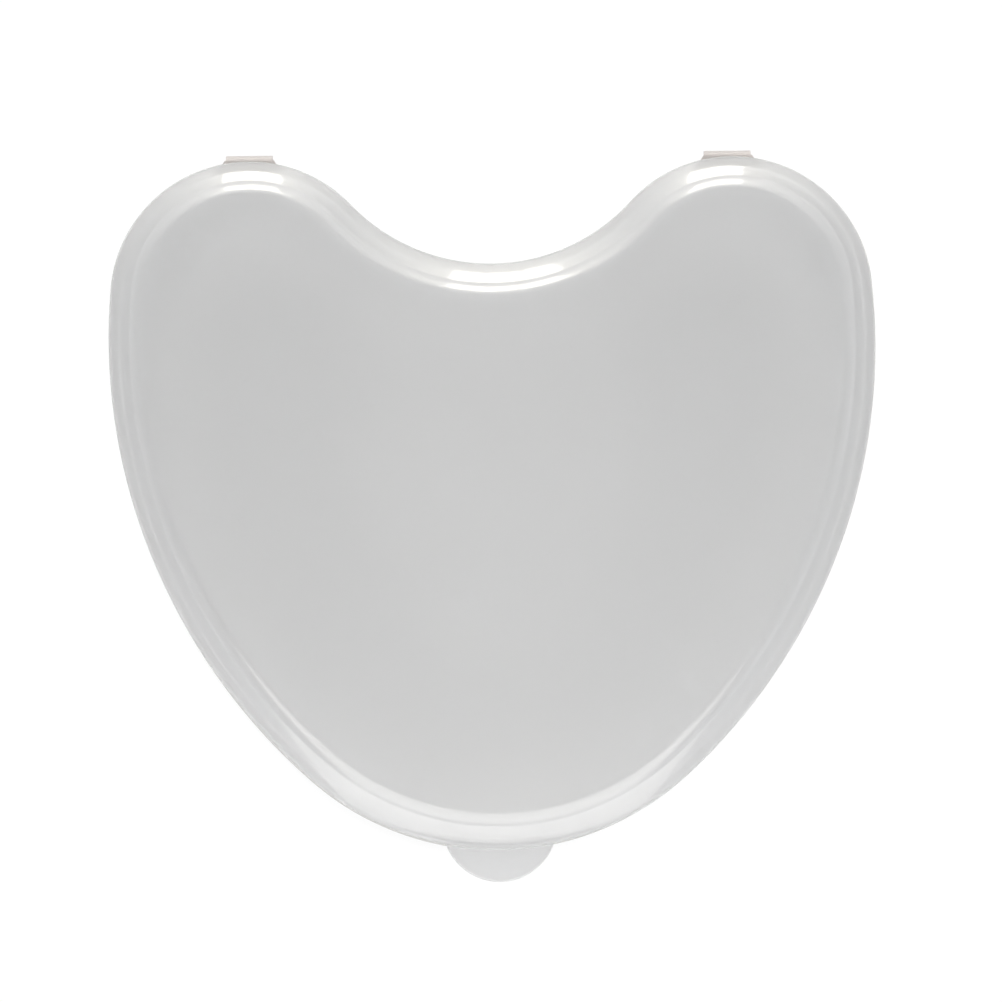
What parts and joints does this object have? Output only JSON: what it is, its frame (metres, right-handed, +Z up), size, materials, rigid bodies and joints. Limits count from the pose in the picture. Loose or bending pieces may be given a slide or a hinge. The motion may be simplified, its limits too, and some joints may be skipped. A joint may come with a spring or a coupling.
{
  "type": "mouthguard with case",
  "caption": "Heart-shaped frosted snap case with a rear-hinged lid and a front thumb tab, holding a loose U-shaped boil-and-bite mouthguard.",
  "frame": {"origin": "middle of the underside of the whole closed object, on the surface it stands on", "axes": "+Z up out of the lid, +X across the width, -Y towards the point and the thumb tab, +Y towards the hinges"},
  "size_m": [0.078, 0.075, 0.025],
  "materials": {
    "frosted_polypropylene": "frosted translucent natural polypropylene, semi-gloss",
    "clear_eva": "clear soft ethylene-vinyl acetate, satin"
  },
  "bodies": {
    "tray": {"tray_basin": "frosted_polypropylene", "tray_rim": "frosted_polypropylene", "tray_snap_bead": "frosted_polypropylene", "tray_hinge_land_left": "frosted_polypropylene", "tray_hinge_land_right": "frosted_polypropylene", "hinge_film_left": "frosted_polypropylene", "hinge_film_right": "frosted_polypropylene"},
    "lid": {"lid_rim": "frosted_polypropylene", "lid_panel": "frosted_polypropylene", "lid_catch_ridge": "frosted_polypropylene", "lid_thumb_tab": "frosted_polypropylene", "lid_hinge_land_left": "frosted_polypropylene", "lid_hinge_land_right": "frosted_polypropylene"},
    "mouthguard": {"guard_bite_plate": "clear_eva", "guard_outer_wall": "clear_eva", "guard_inner_wall": "clear_eva", "guard_molar_pad_left": "clear_eva", "guard_molar_pad_right": "clear_eva"}
  },
  "joints": [
    {"name": "lid_hinge", "type": "hinge", "parent": "tray", "child": "lid", "pos_m": [0, 0.03729, 0.01775], "axis": [-1, 0, 0], "range_deg": [0, 175], "deforming": ["hinge_film_left", "hinge_film_right"]},
    {"name": "guard_lift", "type": "slide", "parent": "tray", "child": "mouthguard", "axis": [0, 0, 1], "range_m": [0, 0.007]}
  ]
}
